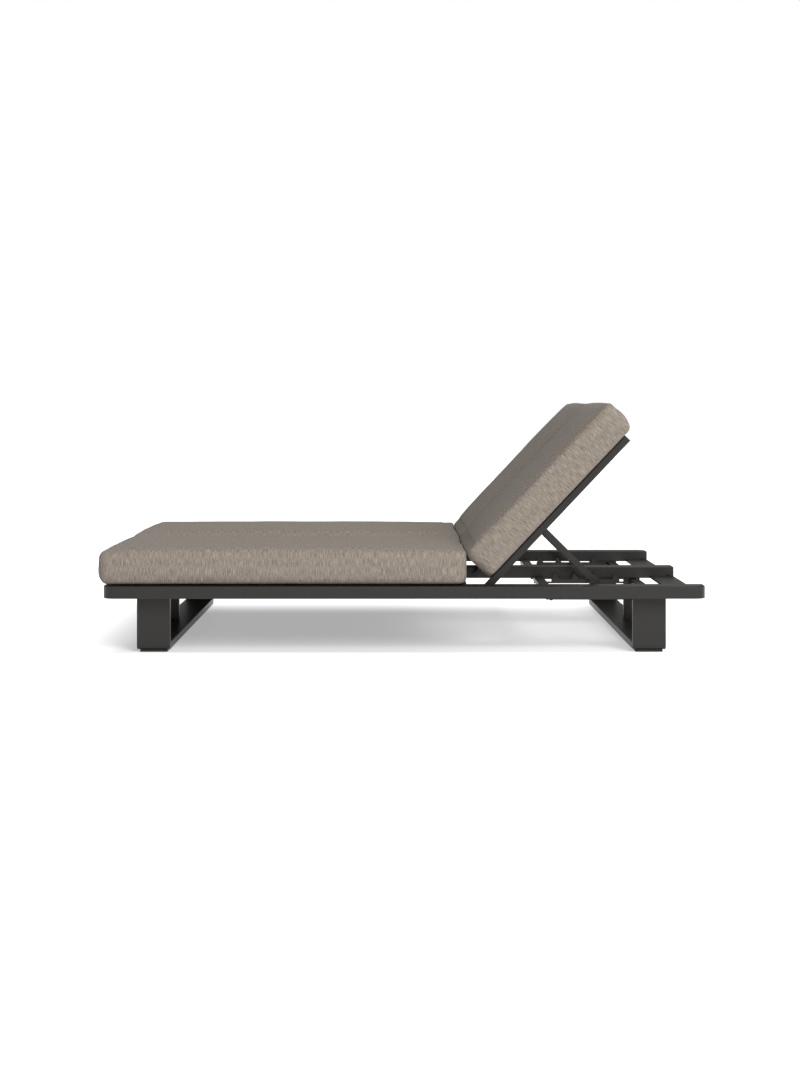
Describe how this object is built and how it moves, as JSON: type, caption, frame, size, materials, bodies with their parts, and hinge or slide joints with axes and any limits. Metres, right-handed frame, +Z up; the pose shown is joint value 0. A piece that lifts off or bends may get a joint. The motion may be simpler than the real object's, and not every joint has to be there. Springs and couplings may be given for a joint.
{
  "type": "double chaise lounger",
  "caption": "Low outdoor daybed for two with separate reclining slatted backs on toothed racks and boxed foam cushions.",
  "frame": {"origin": "on the floor, under the centre of the whole object at rest", "axes": "+X towards the head end, +Z up, -Y towards the near lounger"},
  "size_m": [2.1022, 1.6, 0.8657],
  "materials": {
    "frame_paint": "satin",
    "hardware_steel": "satin",
    "glide_plastic": "matte",
    "bush_plastic": "matte",
    "cushion_fabric": "matte"
  },
  "bodies": {
    "frame": {"side_rail_near": "frame_paint", "side_rail_far": "frame_paint", "centre_rail": "frame_paint", "foot_leg_runner": "frame_paint", "foot_leg_post_near": "frame_paint", "foot_leg_post_far": "frame_paint", "foot_leg_mid_post": "frame_paint", "foot_leg_top_tube": "frame_paint", "foot_end_plate_near": "frame_paint", "foot_end_plate_far": "frame_paint", "head_leg_runner": "frame_paint", "head_leg_post_near": "frame_paint", "head_leg_post_far": "frame_paint", "head_leg_mid_post": "frame_paint", "head_leg_top_tube": "frame_paint", "head_end_plate_near": "frame_paint", "head_end_plate_far": "frame_paint", "seat_crossbar_foot_near": "frame_paint", "seat_crossbar_head_near": "frame_paint", "rack_crossbar_near": "frame_paint", "seat_slats_near": "frame_paint", "seat_cushion_near": "cushion_fabric", "seat_bearer_near_outer": "frame_paint", "rack_near_outer": "frame_paint", "seat_bearer_near_inner": "frame_paint", "rack_near_inner": "frame_paint", "seat_crossbar_foot_far": "frame_paint", "seat_crossbar_head_far": "frame_paint", "rack_crossbar_far": "frame_paint", "seat_slats_far": "frame_paint", "seat_cushion_far": "cushion_fabric", "seat_bearer_far_outer": "frame_paint", "rack_far_outer": "frame_paint", "seat_bearer_far_inner": "frame_paint", "rack_far_inner": "frame_paint", "glides": "glide_plastic", "end_screws": "hardware_steel", "rack_screws": "hardware_steel", "pivot_bolts": "hardware_steel"},
    "back_near": {"back_bar_near_outer": "frame_paint", "back_bar_near_inner": "frame_paint", "back_top_bar_near": "frame_paint", "prop_bar_near": "frame_paint", "back_slats_near": "frame_paint", "pivot_bushes_near": "bush_plastic", "prop_pins_near": "hardware_steel", "back_cushion_near": "cushion_fabric"},
    "prop_near": {"prop_arms_near": "frame_paint", "prop_rod_near": "frame_paint"},
    "back_far": {"back_bar_far_outer": "frame_paint", "back_bar_far_inner": "frame_paint", "back_top_bar_far": "frame_paint", "prop_bar_far": "frame_paint", "back_slats_far": "frame_paint", "pivot_bushes_far": "bush_plastic", "prop_pins_far": "hardware_steel", "back_cushion_far": "cushion_fabric"},
    "prop_far": {"prop_arms_far": "frame_paint", "prop_rod_far": "frame_paint"}
  },
  "joints": [
    {"name": "recline_near", "type": "hinge", "parent": "frame", "child": "back_near", "pos_m": [0.29212, 0, 0.214], "axis": [0, -1, 0], "range_deg": [-46.66, 19.29], "deforming": ["seat_cushion_near"]},
    {"name": "prop_swing_near", "type": "hinge", "parent": "back_near", "child": "prop_near", "pos_m": [0.49391, 0, 0.42782], "axis": [0, -1, 0], "range_deg": [-37.42, 89.78]},
    {"name": "recline_far", "type": "hinge", "parent": "frame", "child": "back_far", "pos_m": [0.29212, 0, 0.214], "axis": [0, -1, 0], "range_deg": [-46.66, 19.29], "deforming": ["seat_cushion_far"]},
    {"name": "prop_swing_far", "type": "hinge", "parent": "back_far", "child": "prop_far", "pos_m": [0.49391, 0, 0.42782], "axis": [0, -1, 0], "range_deg": [-37.42, 89.78]}
  ],
  "couplings": [
    {"joint": "prop_swing_near", "follows": "recline_near", "ratio": -1.9136},
    {"joint": "prop_swing_far", "follows": "recline_far", "ratio": -1.9136}
  ]
}
